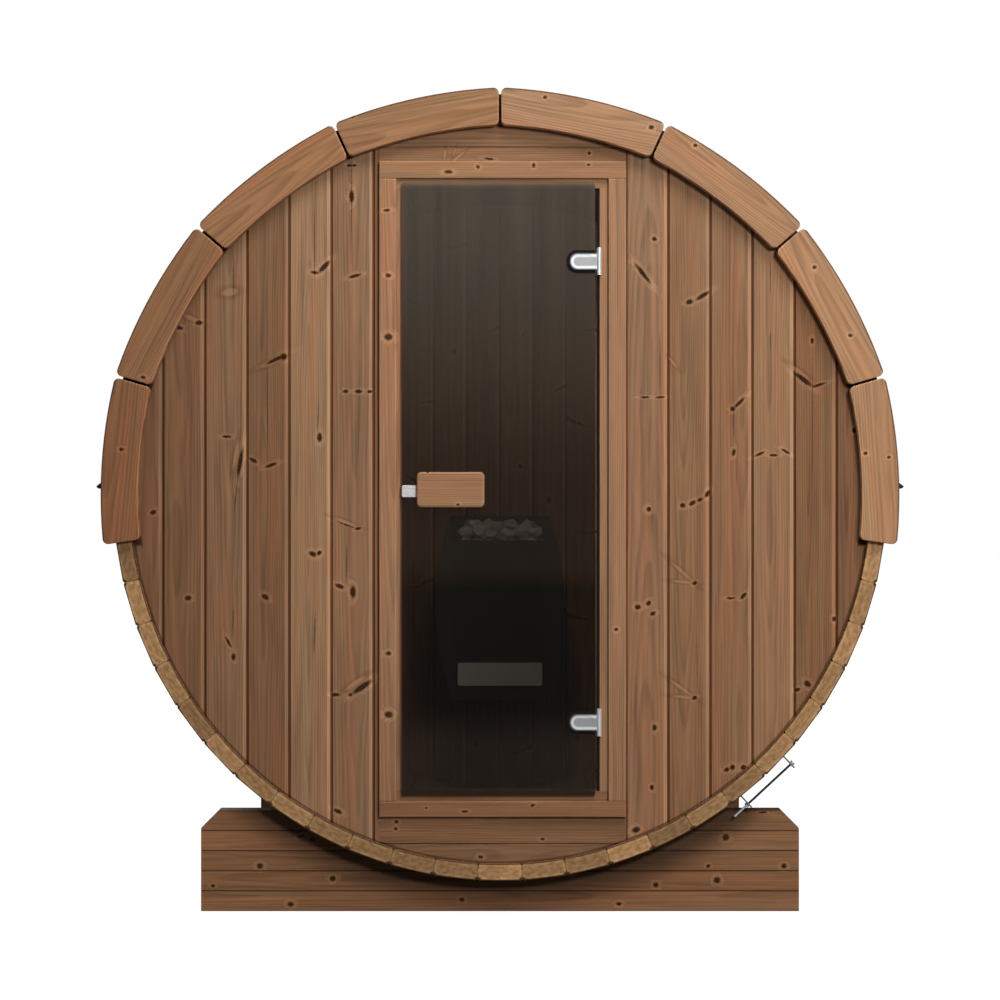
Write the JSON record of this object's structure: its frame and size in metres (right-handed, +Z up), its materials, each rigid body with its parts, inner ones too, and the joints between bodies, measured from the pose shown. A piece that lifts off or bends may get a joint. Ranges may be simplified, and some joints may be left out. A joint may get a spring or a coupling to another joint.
{
  "type": "barrel sauna",
  "caption": "Barrel-shaped outdoor sauna of straight wooden staves on wooden cradles, with a hinged tinted glass door, a shingled upper half and a heater inside.",
  "frame": {"origin": "on the ground, under the middle of the barrel", "axes": "+X to the right when facing the door, +Y from the door to the rear, +Z up"},
  "size_m": [2.086, 1.8566, 2.1342],
  "materials": {
    "thermo_wood": "oiled heat-treated softwood boards, planed",
    "stave_wood": "heat-treated softwood staves, planed, with paler end grain",
    "trim_wood": "heat-treated softwood, planed and rounded",
    "cradle_wood": "heat-treated softwood planks",
    "tinted_glass": "bronze tinted safety glass",
    "hinge_steel": "satin stainless steel",
    "band_steel": "galvanised steel strap and rod",
    "shingle": "black bitumen shingle with mineral granules",
    "drip_metal": "black coated sheet",
    "seal_rubber": "matt black seal",
    "heater_steel": "dark heat-proof coating",
    "panel_steel": "plain steel sheet",
    "stones": "rough grey sauna stones"
  },
  "bodies": {
    "cabin": {"band_front": "band_steel", "band_rear": "band_steel", "door_frame_head": "thermo_wood", "door_frame_left": "thermo_wood", "door_frame_right": "thermo_wood", "door_frame_sill": "thermo_wood", "door_seal": "seal_rubber", "drip_edge_left": "drip_metal", "drip_edge_right": "drip_metal", "front_cradle": "cradle_wood", "front_trim_left": "trim_wood", "front_trim_right": "trim_wood", "front_wall_left": "thermo_wood", "front_wall_right": "thermo_wood", "heater_body": "heater_steel", "heater_panel": "panel_steel", "heater_stones": "stones", "hinge_plate_lower": "hinge_steel", "hinge_plate_upper": "hinge_steel", "panel_above_door": "thermo_wood", "panel_below_door": "thermo_wood", "rear_cradle": "cradle_wood", "rear_trim_left": "trim_wood", "rear_trim_right": "trim_wood", "rear_wall_left": "thermo_wood", "rear_wall_right": "thermo_wood", "roof_left": "shingle", "roof_ridge": "shingle", "roof_right": "shingle", "staves_bottom": "stave_wood", "staves_left_lower": "stave_wood", "staves_left_upper": "stave_wood", "staves_right_lower": "stave_wood", "staves_right_upper": "stave_wood", "staves_top": "stave_wood", "tensioner_front": "band_steel", "tensioner_rear": "band_steel"},
    "door": {"door_glass": "tinted_glass", "door_handle": "thermo_wood", "door_catch": "hinge_steel", "hinge_leaf_lower": "hinge_steel", "hinge_leaf_upper": "hinge_steel"}
  },
  "joints": [
    {"name": "door_swing", "type": "hinge", "parent": "cabin", "child": "door", "pos_m": [0.256, -0.906, 1.0945], "axis": [0, 0, 1], "range_deg": [0, 100]}
  ]
}
